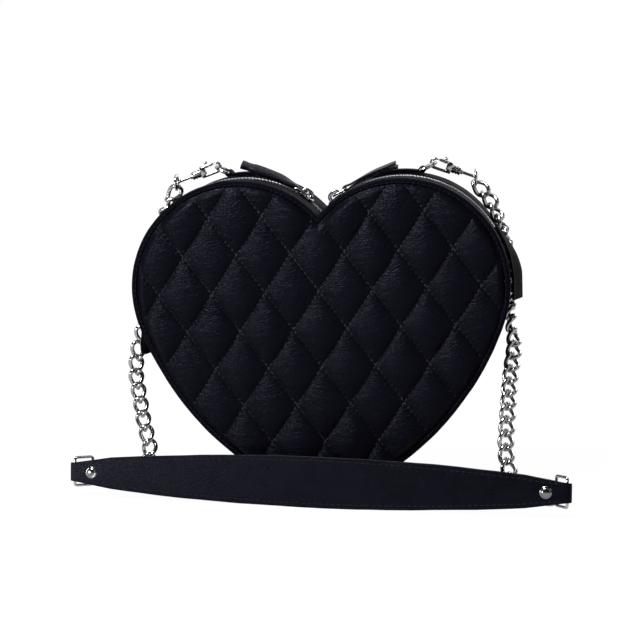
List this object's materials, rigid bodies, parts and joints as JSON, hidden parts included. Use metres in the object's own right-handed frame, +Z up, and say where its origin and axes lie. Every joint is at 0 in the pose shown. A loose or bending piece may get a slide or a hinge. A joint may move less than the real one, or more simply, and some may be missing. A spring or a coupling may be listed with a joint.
{
  "type": "heart shaped purse",
  "caption": "Black quilted leather heart purse with a two way zip top, chrome chains and a shoulder strap.",
  "frame": {"origin": "middle of the flat tip that the heart stands on", "axes": "+X to the right seen from the front, +Y to the back, +Z up; the front panel faces -Y"},
  "size_m": [0.2898, 0.1195, 0.194],
  "materials": {
    "black_leather": "satin",
    "black_fabric": "matte",
    "foam": "matte",
    "chrome": "polished"
  },
  "bodies": {
    "purse": {"d_ring_left": "chrome", "d_ring_right": "chrome", "d_ring_tab_left": "black_leather", "d_ring_tab_right": "black_leather", "front_binding": "black_leather", "front_lining": "black_fabric", "front_padding": "foam", "front_panel": "black_leather", "gusset_lining": "black_fabric", "hook_left": "chrome", "hook_right": "chrome", "lower_gusset": "black_leather", "rear_binding": "black_leather", "rear_lining": "black_fabric", "rear_padding": "foam", "rear_panel": "black_leather", "swivel_eye_left": "chrome", "swivel_eye_right": "chrome", "zip_end_tab_left": "black_leather", "zip_end_tab_right": "black_leather", "zip_strip_front": "black_leather", "zip_strip_rear": "black_leather", "zip_tape_front": "black_fabric", "zip_tape_rear": "black_fabric", "zip_teeth_front": "chrome", "zip_teeth_rear": "chrome"},
    "slider_left_body": {"slider_left": "chrome"},
    "slider_right_body": {"slider_right": "chrome"},
    "pull_left_body": {"pull_bail_left": "chrome", "pull_tab_left": "black_leather"},
    "pull_right_body": {"pull_bail_right": "chrome", "pull_tab_right": "black_leather"},
    "gate_left_body": {"hook_gate_left": "chrome"},
    "gate_right_body": {"hook_gate_right": "chrome"},
    "strap_body": {"strap_front": "black_leather", "strap_back": "black_leather", "strap_rivets": "chrome", "strap_ring_left": "chrome", "strap_ring_right": "chrome", "chain_left": "chrome", "chain_right": "chrome"}
  },
  "joints": [
    {"name": "left_slider_travel", "type": "hinge", "parent": "purse", "child": "slider_left_body", "pos_m": [-0.046, 0, 0.1216], "axis": [0, -1, 0], "range_deg": [0, 89]},
    {"name": "right_slider_travel", "type": "hinge", "parent": "purse", "child": "slider_right_body", "pos_m": [0.046, 0, 0.1216], "axis": [0, 1, 0], "range_deg": [0, 71]},
    {"name": "left_pull_swing", "type": "hinge", "parent": "slider_left_body", "child": "pull_left_body", "pos_m": [-0.00853, 0, 0.17317], "axis": [0, 1, 0], "range_deg": [0, 80]},
    {"name": "right_pull_swing", "type": "hinge", "parent": "slider_right_body", "child": "pull_right_body", "pos_m": [0.00675, 0, 0.17183], "axis": [0, -1, 0], "range_deg": [0, 80]},
    {"name": "left_gate_press", "type": "hinge", "parent": "purse", "child": "gate_left_body", "pos_m": [-0.07318, 0.0205, 0.1882], "axis": [0, 1, 0], "range_deg": [0, 20], "stiffness_Nm_per_rad": 0.004},
    {"name": "right_gate_press", "type": "hinge", "parent": "purse", "child": "gate_right_body", "pos_m": [0.07318, 0.0205, 0.1882], "axis": [0, -1, 0], "range_deg": [0, 20], "stiffness_Nm_per_rad": 0.004},
    {"name": "strap_lift", "type": "hinge", "parent": "purse", "child": "strap_body", "pos_m": [0, 0.0163, 0.17986], "axis": [-1, 0, 0], "range_deg": [0, 155]}
  ]
}
